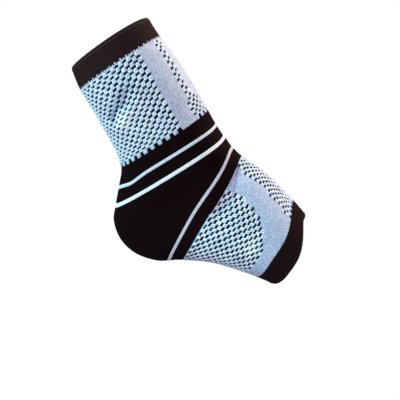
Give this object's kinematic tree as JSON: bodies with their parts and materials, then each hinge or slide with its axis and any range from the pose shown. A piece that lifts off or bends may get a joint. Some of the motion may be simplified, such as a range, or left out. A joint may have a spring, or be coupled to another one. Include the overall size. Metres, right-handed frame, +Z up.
{
  "type": "compression ankle sleeve",
  "caption": "Knitted open-toe compression sleeve for the ankle, with ribbed end cuffs, a dark striped heel pocket and pale eyelet panels, in its worn form.",
  "frame": {"origin": "ankle centre, where the axis of the leg meets the axis of the foot, inside the sleeve", "axes": "+Z up with the leg leaning 30 degrees back, +X towards the toes, +Y to the inner side, so -Y is the outer side that carries the dents"},
  "size_m": [0.1983, 0.088, 0.2154],
  "materials": {
    "cuff_knit": "matt ribbed elastic knit, warm black",
    "black_knit": "matt fine stocking knit, black",
    "pale_knit": "matt pale blue knit with dark eyelet pits and plain strips",
    "blue_stripe": "matt fine rib, light blue",
    "white_stripe": "matt fine rib, near white",
    "grey_stripe": "matt fine rib, lilac grey"
  },
  "bodies": {
    "root": {"leg_cuff": "cuff_knit", "leg_panel": "pale_knit", "ankle_band_upper": "black_knit", "stripe_upper": "blue_stripe", "ankle_band_lower": "black_knit", "stripe_middle": "white_stripe", "heel_pocket": "black_knit", "stripe_lower": "grey_stripe", "instep_band": "black_knit", "foot_panel": "pale_knit", "toe_cuff": "cuff_knit"}
  },
  "joints": []
}
